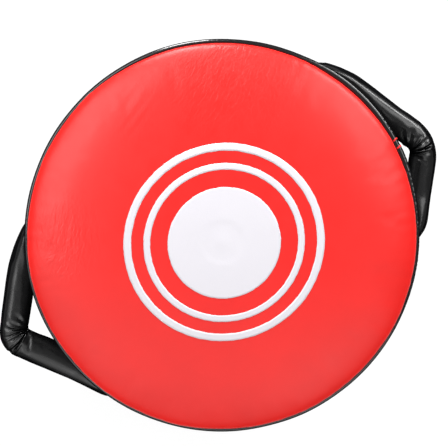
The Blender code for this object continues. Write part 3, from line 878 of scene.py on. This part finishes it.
def build_coils():
    """Nylon coils: a row of slanting teeth on each tape, the two rows a half step apart."""
    first, last = ZIP_START + COIL_MARGIN, ZIP_END - COIL_MARGIN
    count = int((last - first) * WALL_RADIUS / COIL_PITCH)
    radius = WALL_RADIUS + COIL_LIFT
    for name, sign in (("zip_coil_lower", -1), ("zip_coil_upper", 1)):
        low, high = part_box(name)
        angles = np.linspace(first, last, count) + (0.25 + 0.25 * sign) * COIL_PITCH / WALL_RADIUS
        outer = low.z if sign < 0 else high.z
        starts = around(angles, radius, outer)
        ends = around(angles + COIL_OVERLAP / WALL_RADIUS, radius, ZIP_MIDDLE - sign * COIL_OVERLAP)
        outwards = around(angles, 1.0, 0.0)
        coil = add_threads(name + "_teeth", starts, ends, outwards, COIL_THICKNESS, ZIP_NYLON)
        stand_for(coil, name)


build_tapes()
build_coils()


# ---------------------------------------------------------------- back panel

BACK_EDGE = 184.0 * MM
BACK_ROLL = 7 * MM                   # width of the edge that rolls up to the rear piping
BACK_RISE = 3.2 * MM                 # how high it rolls
BACK_REST = 0.04 * MM                # how far the flat back stays above the floor
BACK_STITCH_INSET = 4.5 * MM


def back_height(radius, angle):
    """The back's outside: flat, with a rolled edge, gathers along the seam and shallow dents."""
    roll = np.clip((radius - (BACK_EDGE - BACK_ROLL)) / BACK_ROLL, 0, 1)
    folds = smooth_noise(angle * BACK_EDGE, radius * 0.2, 71, waves=20, low=200, high=480)
    gathers = smoothstep(BACK_EDGE - 2.5 * BACK_ROLL, BACK_EDGE, radius) * 0.3 * MM * np.abs(folds)
    unevenness = smooth_noise(radius * np.cos(angle), radius * np.sin(angle), 72, low=20, high=70)
    dents = 0.16 * MM * (1 + unevenness)
    return BACK_RISE * (1 - np.sqrt(1 - roll ** 2 * 0.98)) + gathers + dents + BACK_REST


def build_back():
    """The back's leather and the row of stitches along its edge."""
    rings, spokes = 80, 480
    share = np.linspace(0.004, 1.0, rings)
    radius, angle = np.meshgrid(BACK_EDGE * share, full_turn(spokes), indexing="ij")
    points = around(angle, radius, back_height(radius, angle))
    back = add_disc("back_leather", points, (0.0, 0.0, BACK_REST), BLACK_LEATHER, inside=(0, 0, 0.1))
    thicken(back, SKIN - 0.2 * MM)
    bake(back)
    stand_for(back, "back_panel")
    sewn, angles = BACK_EDGE - BACK_STITCH_INSET, np.linspace(0, math.tau, 600)
    path = around(angles, sewn, back_height(sewn, angles) - STITCH_LIFT)
    down = np.tile((0.0, 0.0, -1.0), (len(path), 1))
    stitches = add_stitches("back_stitches", [(path, down)], BLACK_THREAD)
    dress(stitches)


build_back()


# ---------------------------------------------------------------- handles

TUBE_RADIUS = 14 * MM
SLEEVE_INSET, SLEEVE_THICKNESS = 0.5 * MM, 0.9 * MM
SLEEVE_SEAM_DEPTH, SLEEVE_SEAM_WIDTH = 0.8 * MM, 1.0 * MM
PLEAT_DEPTH, PLEAT_COUNT = 0.5 * MM, 9   # the pleats that gather a tube into its flat sewn end
FOAM_CLEARANCE, KINK_CLEARANCE = 2.6 * MM, 3.2 * MM   # from sleeve to foam rod, and more at the kink
WEBBING_HALF_THICKNESS, WEBBING_HALF_WIDTH = 0.9 * MM, 7.5 * MM
HUG_RADIUS = WALL_RADIUS + 1.1 * MM      # where a tube pressed to the wall has its inner side
SEWN_ANGLE = math.radians(32.0)          # where a tube's end is flat and sewn down
PINCH = 2.5 * MM                         # gap between the legs' inner sides at the kink
SLEEVE_SIDES = 72
CORE_SIDES = 24
SEAM_SIDE = 51                           # the side of the tube, counted from its outer edge, with its seam

# Each handle in its own frame, +X away from the pad: its two legs (the direction that the outer edge faces
# in degrees, its distance from the pad's axis, the length over which the sewn end flattens, the tube's
# width), the rounding of the outer corner, and the folds that fan out from the pinched inner corner
# (heading in degrees, depth, half-width in degrees, reach).
HANDLES = {
    "right": {
        "turn": 0.0, "rounding": 47 * MM,
        "legs": ((25.8, 205.0 * MM, 44 * MM, 32 * MM), (-35.0, 205.6 * MM, 26 * MM, 29 * MM)),
        "folds": ((0, 3.0 * MM, 4.0, 34 * MM), (17, 1.2 * MM, 4.5, 30 * MM), (36, 1.4 * MM, 5.0, 30 * MM),
                  (60, 1.9 * MM, 6.0, 28 * MM), (88, 1.0 * MM, 7.0, 24 * MM), (-22, 1.0 * MM, 4.5, 28 * MM),
                  (-46, 0.9 * MM, 6.0, 24 * MM)),
        "seed": 100},
    "left": {
        "turn": math.pi, "rounding": 30 * MM,
        "legs": ((37.2, 203.6 * MM, 22 * MM, 33 * MM), (-35.9, 207.0 * MM, 58 * MM, 29.5 * MM)),
        "folds": ((22, 3.2 * MM, 3.6, 46 * MM), (6, 1.2 * MM, 4.0, 34 * MM), (-10, 1.4 * MM, 4.0, 34 * MM),
                  (-27, 1.2 * MM, 4.5, 32 * MM), (-46, 1.1 * MM, 5.5, 28 * MM),
                  (-70, 0.8 * MM, 7.0, 24 * MM), (54, 1.0 * MM, 7.0, 28 * MM)),
        "seed": 200},
}


def facing(angle):
    """The unit direction at an angle."""
    return np.array([math.cos(angle), math.sin(angle)])


def crossing(first, second):
    """Where two lines cross, each given by its unit normal and distance from the origin."""
    return np.linalg.solve(np.array([first[0], second[0]]), np.array([first[1], second[1]]))


class HandlePlan:
    """A kinked handle seen along the pad's axis: its edges, corner and section lines."""

    def __init__(self, shape):
        directions, self.distances, self.tapers, self.widths = zip(*shape["legs"])
        self.angles = [math.radians(direction) for direction in directions]
        self.normals = [facing(angle) for angle in self.angles]
        self.rounding = shape["rounding"]
        self.pivot = crossing(*[(normal, distance - width - PINCH) for normal, distance, width
                                in zip(self.normals, self.distances, self.widths)])
        self.centre = crossing(*[(normal, distance - self.rounding) for normal, distance
                                 in zip(self.normals, self.distances)])
        self.middle = sum(self.angles) / 2

    def outer(self, start, heading):
        """Where a ray from inside the handle meets its outer edge."""
        reach = min((d - start @ n) / max(heading @ n, 1e-6) for n, d in zip(self.normals, self.distances))
        found = start + heading * reach
        spoke = found - self.centre
        spoke_angle = math.atan2(spoke[1], spoke[0])
        if self.angles[1] < spoke_angle < self.angles[0]:
            offset = start - self.centre
            half = offset @ heading
            reach = -half + math.sqrt(half ** 2 - offset @ offset + self.rounding ** 2)
            found = start + heading * reach
        return found

    def leg(self, index, count):
        """Section lines of one leg, from its sewn end to the corner."""
        normal, distance, angle = self.normals[index], self.distances[index], self.angles[index]
        toward_end = np.array([-normal[1], normal[0]]) * (1 if index == 0 else -1)
        end = distance * math.tan(SEWN_ANGLE - abs(angle))
        corner = self.pivot @ toward_end
        sections = []
        for share in np.linspace(0.0, 1.0, count) ** 1.15:
            along = end + (corner - end) * share
            wall = math.sqrt(HUG_RADIUS ** 2 - along ** 2)
            free = distance - self.widths[index]
            inner = (wall + free + math.hypot(wall - free, 2 * MM)) / 2
            start = normal * inner + toward_end * along
            outer = self.outer(start, normal)
            flat = np.clip((along - (end - self.tapers[index])) / self.tapers[index], 0, 1)
            full = (1 - flat ** 1.9) ** 0.5
            outer = start + (outer - start) * full + normal * 2.4 * MM * (1 - full)
            sections.append((start, outer, full))
        return sections

    def sections(self, leg_count=70, bend_count=50):
        """All section lines, from one sewn end around the kink to the other."""
        first, second = self.leg(0, leg_count), self.leg(1, leg_count)
        bend = []
        for share in np.linspace(0, 1, bend_count + 2)[1:-1]:
            heading = facing(self.angles[0] + (self.angles[1] - self.angles[0]) * share)
            start = self.pivot + heading * PINCH
            bend.append((start, self.outer(start, heading), 1.0))
        return first + bend + second[::-1]


def handle_surface(plan, inset, sides):
    """Points and outward directions of a handle's tube, inset from its outside."""
    sections = plan.sections()
    turns = full_turn(sides)
    points, normals = [], []
    for start, outer, full in sections:
        middle, half = (start + outer) / 2, np.linalg.norm(outer - start) / 2
        heading = (outer - start) / (2 * half)
        high = math.sqrt(max(2 * TUBE_RADIUS ** 2 - half ** 2, 0)) * (0.84 + 0.16 * full)
        thick, tall = max(half - inset, 0.2 * MM), high - inset
        for turn in turns:
            flat = middle + heading * thick * math.cos(turn)
            points.append((flat[0], flat[1], HANDLE_HEIGHT + tall * math.sin(turn)))
            out = np.array([heading[0] * math.cos(turn) / thick, heading[1] * math.cos(turn) / thick,
                            math.sin(turn) / tall])
            normals.append(out / np.linalg.norm(out))
    centres = np.array([(start + outer) / 2 for start, outer, _ in sections])
    steps = reach_along(centres)
    fullness = np.array([full for _, _, full in sections])
    return np.array(points), np.array(normals), steps, fullness


def fold_depth(plan, folds, points):
    """Depth of the folds that fan out from the pinched corner."""
    flat = points[:, :2] - plan.pivot
    reach = np.hypot(flat[:, 0], flat[:, 1])
    heading = np.degrees(np.arctan2(flat[:, 1], flat[:, 0]) - plan.middle)
    depth = np.zeros(len(points))
    for angle, deep, half_width, length in folds:
        bent = heading - angle + 3.0 * np.sin(reach / (9 * MM) + angle)
        rise = smoothstep(0.0, 9 * MM, reach) * (1 - smoothstep(length * 0.45, length, reach))
        depth += deep * np.exp(-np.abs(bent / half_width) ** 1.3) * rise
        crest = np.exp(-((bent - 1.7 * half_width) / (0.8 * half_width)) ** 2)
        crest += np.exp(-((bent + 1.7 * half_width) / (0.8 * half_width)) ** 2)
        depth -= 0.6 * deep * crest * rise
    return depth


def half_turned(points, turn):
    """Points turned about the pad's axis."""
    cos, sin = math.cos(turn), math.sin(turn)
    return np.stack([points[:, 0] * cos - points[:, 1] * sin, points[:, 0] * sin + points[:, 1] * cos,
                     points[:, 2]], axis=-1)


def join_to_handle(piece):
    """Bakes a piece's transform into its mesh."""
    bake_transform(piece)


def build_sleeve(side, shape):
    """A handle's leather: the kinked tube with its folds, dents and seam, settled as cloth."""
    plan = HandlePlan(shape)
    points, normals, steps, fullness = handle_surface(plan, SLEEVE_INSET, SLEEVE_SIDES)
    rings = len(steps)
    along = np.repeat(steps, SLEEVE_SIDES)
    around_tube = np.tile(full_turn(SLEEVE_SIDES), rings)
    seed = shape["seed"]
    middle = (steps[0] + steps[-1]) / 2
    near_kink = np.exp(-((along - middle) / (26 * MM)) ** 2)
    ring = np.stack([np.cos(around_tube), np.sin(around_tube)]) * TUBE_RADIUS
    dents = 0.5 * MM * smooth_noise(along * 0.6, ring[1] * 0.8 + ring[0] * 0.5, seed,
                                    waves=16, low=40, high=110)
    small = 0.12 * MM * smooth_noise(along, ring[0] * 1.3 + ring[1] * 0.9, seed + 1,
                                     waves=18, low=220, high=480)
    flatness = 1 - np.repeat(fullness, SLEEVE_SIDES)
    pleats = PLEAT_DEPTH * flatness * np.sin(around_tube * PLEAT_COUNT + 1.5 * np.sin(along * 60))
    ease = np.minimum(1.0, np.repeat(fullness, SLEEVE_SIDES) * 1.2)
    outer_side = smoothstep(0.45, 1.0, np.cos(around_tube))
    depth = fold_depth(plan, shape["folds"], points) * (1 - 0.8 * outer_side)
    from_seam = (around_tube - math.tau * SEAM_SIDE / SLEEVE_SIDES) * TUBE_RADIUS
    seam = SLEEVE_SEAM_DEPTH * np.exp(-(from_seam / SLEEVE_SEAM_WIDTH) ** 2)
    lift = (dents + small * (0.3 + near_kink)) * ease + pleats - depth - seam
    shaped = points + normals * lift[:, None]
    sleeve = add_mesh(f"handle_{side}_leather", shaped, tube_faces(rings, SLEEVE_SIDES), HANDLE_LEATHER)
    last = len(points) - 2 * SLEEVE_SIDES
    pinned = list(range(2 * SLEEVE_SIDES)) + list(range(last, len(points)))
    rest = np.stack([along, ring[0] * 1.01, ring[1] * 1.01 + HANDLE_HEIGHT], axis=-1)
    cap = 1.4 * MM + 2.6 * MM * near_kink * (1 - outer_side)
    settle(sleeve, pinned, pressure=3.0, spare=0.02, cap=cap[:, None], rest=rest)
    sleeve.data.vertices.foreach_set("co", half_turned(points_of(sleeve), shape["turn"]).ravel())
    outwards = sum(face.normal.z * (face.center.z - HANDLE_HEIGHT) for face in sleeve.data.polygons)
    if outwards < 0:
        sleeve.data.flip_normals()
    build_seam_stitches(side, sleeve, rings)
    thicken(sleeve, SLEEVE_THICKNESS)
    bake(sleeve)
    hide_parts(f"handle_{side}_sleeve")
    join_to_handle(sleeve)
    return plan


def build_seam_stitches(side, sleeve, rings):
    """Stitches on both sides of the seam that closes a sleeve along its underside."""
    points = points_of(sleeve).reshape(rings, SLEEVE_SIDES, 3)
    normals = normals_of(sleeve).reshape(rings, SLEEVE_SIDES, 3)
    rows = [(points[8:-8, column] + normals[8:-8, column] * STITCH_LIFT, normals[8:-8, column])
            for column in (SEAM_SIDE - 2, SEAM_SIDE + 2)]
    stitches = add_stitches(f"handle_{side}_stitches", rows, BLACK_THREAD)
    join_to_handle(stitches)


TAB_START, TAB_END = math.radians(31.2), math.radians(39.6)
TAB_HALF_HEIGHT, TAB_HALF_THICKNESS = 16.2 * MM, 1.25 * MM
TAB_LIFT = 0.1 * MM
TAB_STITCHES_START, TAB_STITCHES_END = math.radians(33.0), math.radians(38.6)
TAB_STITCHES_HALF_HEIGHT = 13 * MM


def squared(wave, power):
    """A wave with flatter crests, for a section between round and square."""
    return np.sign(wave) * np.abs(wave) ** power


def build_tab(side, end, turn, sign):
    """A sleeve's flattened end, folded under and sewn to the wall with a crossed box of stitches."""
    sides, steps = 28, 36
    shares = np.linspace(0, 1, steps)
    angles = turn + sign * (TAB_START + (TAB_END - TAB_START) * shares)
    taper = np.sqrt(np.clip(1 - np.clip((shares - 0.93) / 0.07, 0, 1) ** 2, 0, 1)) * 0.9 + 0.1
    puff = 1 - 0.22 * np.exp(-((shares - 0.2) / 0.03) ** 2) - 0.22 * np.exp(-((shares - 0.88) / 0.03) ** 2)
    turns = full_turn(sides)
    share_grid, turn_grid = np.meshgrid(shares, turns, indexing="ij")
    angle = np.repeat(angles[:, None], sides, axis=1)
    half_height = TAB_HALF_HEIGHT - 0.8 * MM * share_grid
    upright = squared(np.sin(turn_grid), 0.35)
    height = HANDLE_HEIGHT + half_height * upright * (0.985 + 0.015 * taper[:, None])
    thick = TAB_HALF_THICKNESS * (taper * puff)[:, None]
    under = wall_radius(wrapped(angle), height) + TAB_LIFT
    radius = under + thick + thick * squared(np.cos(turn_grid), 0.6)
    tab = add_mesh(f"handle_{side}_{end}_tab_leather", around(angle, radius, height),
                   tube_faces(steps, sides, closed_ends=True), HANDLE_LEATHER)
    recalculate(tab)
    stand_for(tab, f"handle_{side}_{end}_tab")

    lift = 2 * TAB_HALF_THICKNESS
    near, far = turn + sign * TAB_STITCHES_START, turn + sign * TAB_STITCHES_END
    low, high = HANDLE_HEIGHT - TAB_STITCHES_HALF_HEIGHT, HANDLE_HEIGHT + TAB_STITCHES_HALF_HEIGHT
    share = np.linspace(0, 1, 20)
    rows = [on_wall(near + (far - near) * share, height, lift) for height in (low, high)]
    rows += [on_wall(angle, low + (high - low) * share, lift) for angle in (near, far)]
    rows += [on_wall(near + (far - near) * share, low + (high - low) * share, lift),
             on_wall(near + (far - near) * share, high - (high - low) * share, lift)]
    stitches = add_stitches(f"handle_{side}_{end}_tab_stitches", rows, BLACK_THREAD, pitch=3.0 * MM,
                            length=2.3 * MM)
    dress(stitches)


def build_handle_core(side, shape, plan):
    """The foam rod inside a sleeve, clear of its folds, and the webbing through it."""
    points, _, steps, _ = handle_surface(plan, 0.0, CORE_SIDES)
    middle = (steps[0] + steps[-1]) / 2
    near_kink = np.exp(-((steps - middle) / (24 * MM)) ** 2)
    rings = len(steps)
    sections = points.reshape(rings, CORE_SIDES, 3)
    centres = sections.mean(axis=1, keepdims=True)
    half = np.linalg.norm(sections[:, 0] - centres[:, 0], axis=1)
    clearance = FOAM_CLEARANCE + KINK_CLEARANCE * near_kink
    share = np.clip(1 - clearance / np.maximum(half, 3 * MM), 0.08, 1.0)
    rod = centres + (sections - centres) * share[:, None, None]
    turns = full_turn(CORE_SIDES)
    heading = (sections[:, 0] - centres[:, 0]) / half[:, None]
    strap = (centres + heading[:, None, :] * (WEBBING_HALF_THICKNESS * np.cos(turns))[None, :, None]
             + np.array([0, 0, 1.0]) * (WEBBING_HALF_WIDTH * np.sin(turns))[None, :, None])
    for kind, body, material, slot in (("foam", rod[6:-6], HANDLE_FOAM, "handle_foam"),
                                       ("webbing", strap[3:-3], WEBBING, "webbing")):
        piece = add_mesh(f"handle_{side}_{kind}_core", half_turned(body.reshape(-1, 3), shape["turn"]),
                         tube_faces(len(body), CORE_SIDES, closed_ends=True), material)
        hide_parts(f"handle_{side}_{kind}")
        join_to_handle(piece)


for side, shape in HANDLES.items():
    build_handle_core(side, shape, build_sleeve(side, shape))
    build_tab(side, "upper", shape["turn"], 1)
    build_tab(side, "lower", shape["turn"], -1)


# ---------------------------------------------------------------- inner parts and metal

EDGE_ROUNDING = 0.22 * MM


def build_zip_metal():
    """The zip's metal parts with their stamped edges rounded."""
    for node, body in (("zip_stop_start", "pad"), ("zip_stop_end", "pad"), ("zip_slider", "zip_slider"),
                       ("zip_pull", "zip_pull")):
        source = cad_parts[node]
        mesh = source.data.copy()
        mesh.transform(source.matrix_world)
        mesh.materials.clear()
        mesh.materials.append(NICKEL)
        piece = add_object(node + "_metal", mesh)
        choose(piece.modifiers.new("weld", "WELD"), merge_threshold=0.001 * MM)
        choose(piece.modifiers.new("rounding", "BEVEL"), width=EDGE_ROUNDING, segments=3,
               limit_method="ANGLE", angle_limit=math.radians(40), use_clamp_overlap=True)
        bake(piece)
        stand_for(piece, node, body)


build_zip_metal()


def finish_cad_nodes():
    """Gives the CAD nodes that stay, all of them inside the cover, the finishes of what they are."""
    finishes = {"crown_foam": CROWN_FOAM, "rear_board": BOARD, "front_piping_cord": COTTON,
                "rear_piping_cord": COTTON}
    finishes.update({f"foam_sheet_{number}": SHEET_FOAM for number in range(1, 5)})
    finishes.update({f"handle_{side}_{end}_patch": PATCH_LEATHER
                     for side in HANDLES for end in ("upper", "lower")})
    for name, material in finishes.items():
        for slot in bpy.data.objects[name].material_slots:
            slot.material = material


finish_cad_nodes()


# ---------------------------------------------------------------- stage

FLOOR_DROP = 0.5 * MM                # from the pad's back to the floor


def build_stage():
    """A pale floor, wide enough that its edge shows in no view."""
    half = 40.0
    mesh = bpy.data.meshes.new("floor")
    mesh.from_pydata([(-half, -half, 0), (half, -half, 0), (half, half, 0), (-half, half, 0)], [],
                     [(0, 1, 2, 3)])
    floor = add_object("floor", mesh)
    floor.location.z = -FLOOR_DROP
    n = Nodes("floor_white", Roughness=0.8, Base_Color=(0.2, 0.2, 0.2, 1.0),
              Emission_Color=(1.0, 1.0, 1.0, 1.0), Emission_Strength=0.82)
    mesh.materials.append(n.material)


IMAGE_TURN = math.radians(28)        # the handles' line stands this much counter-clockwise in the view
IMAGE_RIGHT = Vector((math.cos(IMAGE_TURN), -math.sin(IMAGE_TURN), 0))
IMAGE_UP = Vector((math.sin(IMAGE_TURN), math.cos(IMAGE_TURN), 0))
RIM_CENTRE = Vector((0, 0, RIM_HEIGHT))
WORLD_BRIGHTNESS = 0.30
# Softboxes: heading counter-clockwise from the view's right and elevation above the face, in degrees,
# distance, width and height in metres, power in watts
LIGHTS = {
    "key_softbox": (151, 46, 1.9, 1.8, 1.0, 20.5),
    "side_softbox": (32, 45, 1.9, 1.25, 0.8, 10.5),
    "low_softbox": (262, 46, 2.2, 2.2, 2.2, 14.5),
    "low_left_softbox": (214, 36, 1.9, 1.3, 1.3, 5.2),
    "low_right_softbox": (309, 40, 1.9, 0.9, 0.9, 4.0),
    "top_softbox": (100, 38, 1.9, 0.5, 0.5, 2.4),
    "rim_strip": (45, 17, 1.8, 0.9, 0.35, 20),
    "top_strip": (101, 10, 1.8, 0.5, 0.5, 36),
}
CAMERA_LEAN, CAMERA_HEADING = math.radians(6.5), math.radians(100)
CAMERA_DISTANCE = 1.5
LENS, SENSOR = 125, 36               # focal length and sensor width in millimetres
AIM = RIM_CENTRE + IMAGE_RIGHT * 1.9 * MM + IMAGE_UP * 14.2 * MM


def add_light(name, heading, elevation, distance, width, height, power):
    """A softbox that faces the middle of the rim."""
    angle, lift = math.radians(heading), math.radians(elevation)
    level = IMAGE_RIGHT * math.cos(angle) + IMAGE_UP * math.sin(angle)
    lamp = choose(bpy.data.lights.new(name, "AREA"), shape="RECTANGLE", size=width, size_y=height,
                  energy=power)
    holder = add_object(name, lamp)
    holder.location = RIM_CENTRE + (level * math.cos(lift) + Vector((0, 0, math.sin(lift)))) * distance
    holder.rotation_euler = (RIM_CENTRE - holder.location).to_track_quat("-Z", "Y").to_euler()


def build_lights():
    """The softboxes and the white surroundings."""
    for name, setting in LIGHTS.items():
        add_light(name, *setting)
    world = bpy.data.worlds.new("studio")
    world.use_nodes = True
    background = world.node_tree.nodes["Background"]
    background.inputs["Color"].default_value = (1.0, 1.0, 1.0, 1.0)
    background.inputs["Strength"].default_value = WORLD_BRIGHTNESS
    bpy.context.scene.world = world


def build_camera():
    """Nearly along the face's axis, leaning a little towards the top of the view."""
    level = IMAGE_RIGHT * math.cos(CAMERA_HEADING) + IMAGE_UP * math.sin(CAMERA_HEADING)
    toward = level * math.sin(CAMERA_LEAN) + Vector((0, 0, math.cos(CAMERA_LEAN)))
    holder = add_object("camera", choose(bpy.data.cameras.new("camera"), lens=LENS, sensor_width=SENSOR))
    holder.location = AIM + toward * CAMERA_DISTANCE
    back = toward.normalized()
    right = IMAGE_UP.cross(back).normalized()
    up = back.cross(right)
    holder.rotation_euler = Matrix((right, up, back)).transposed().to_euler()
    bpy.context.scene.camera = holder
    bpy.context.scene.view_settings.view_transform = "Standard"


build_stage()
build_lights()
build_camera()
